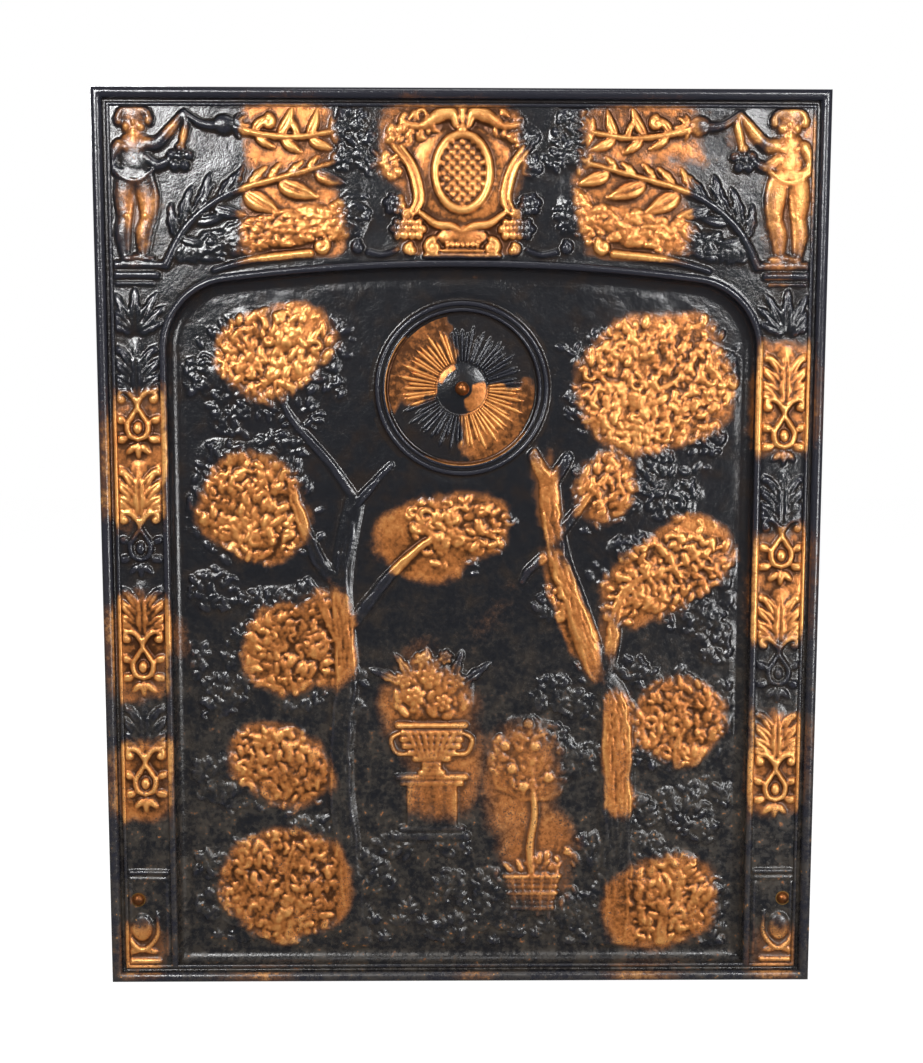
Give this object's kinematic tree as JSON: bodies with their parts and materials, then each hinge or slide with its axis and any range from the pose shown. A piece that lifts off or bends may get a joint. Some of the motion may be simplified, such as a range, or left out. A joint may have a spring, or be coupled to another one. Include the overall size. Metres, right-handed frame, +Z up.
{
  "type": "fireplace summer cover",
  "caption": "Pressed sheet-steel fireplace summer cover with relief frieze, pilasters and arch, a round flue collar with a pull-out sunburst stop, and rear turn buttons.",
  "frame": {"origin": "middle of the flat bottom flange that the cover stands on, halfway through the flange's depth", "axes": "+Z up the cover, -Y out of its pressed face towards the room, +X to the right of someone who looks at the face"},
  "size_m": [0.61, 0.0623, 0.7645],
  "materials": {
    "japanned_copper": "glossy black japan over copper flash, with feathered copper patches",
    "copper_knob": "worn copper flash",
    "spring_steel": "dark oiled steel",
    "collar_steel": "dull rolled steel",
    "fastener_steel": "plain steel with light rust",
    "washer_brass": "dull brass"
  },
  "bodies": {
    "cover": {"face_sheet": "japanned_copper", "flue_collar": "collar_steel", "left_sleeve": "fastener_steel", "right_sleeve": "fastener_steel"},
    "stop_springs": {"upright_spring": "spring_steel", "level_spring": "spring_steel"},
    "stop_face": {"sunburst_disc": "japanned_copper", "centre_knob": "copper_knob", "centre_washer": "fastener_steel", "centre_nut": "fastener_steel"},
    "left_button": {"left_stud": "copper_knob", "left_face_washer": "washer_brass", "left_turn_bar": "fastener_steel", "left_bar_washer": "fastener_steel", "left_nut": "fastener_steel"},
    "right_button": {"right_stud": "copper_knob", "right_face_washer": "washer_brass", "right_turn_bar": "fastener_steel", "right_bar_washer": "fastener_steel", "right_nut": "fastener_steel"}
  },
  "joints": [
    {"name": "stop_pull", "type": "slide", "parent": "cover", "child": "stop_springs", "axis": [0, -1, 0], "range_m": [0, 0.06]},
    {"name": "stop_turn", "type": "hinge", "parent": "stop_springs", "child": "stop_face", "pos_m": [0, 0, 0.5165], "axis": [0, 1, 0], "continuous": true},
    {"name": "left_button_turn", "type": "hinge", "parent": "cover", "child": "left_button", "pos_m": [-0.281, 0, 0.074], "axis": [0, -1, 0], "continuous": true},
    {"name": "right_button_turn", "type": "hinge", "parent": "cover", "child": "right_button", "pos_m": [0.281, 0, 0.074], "axis": [0, 1, 0], "continuous": true}
  ]
}
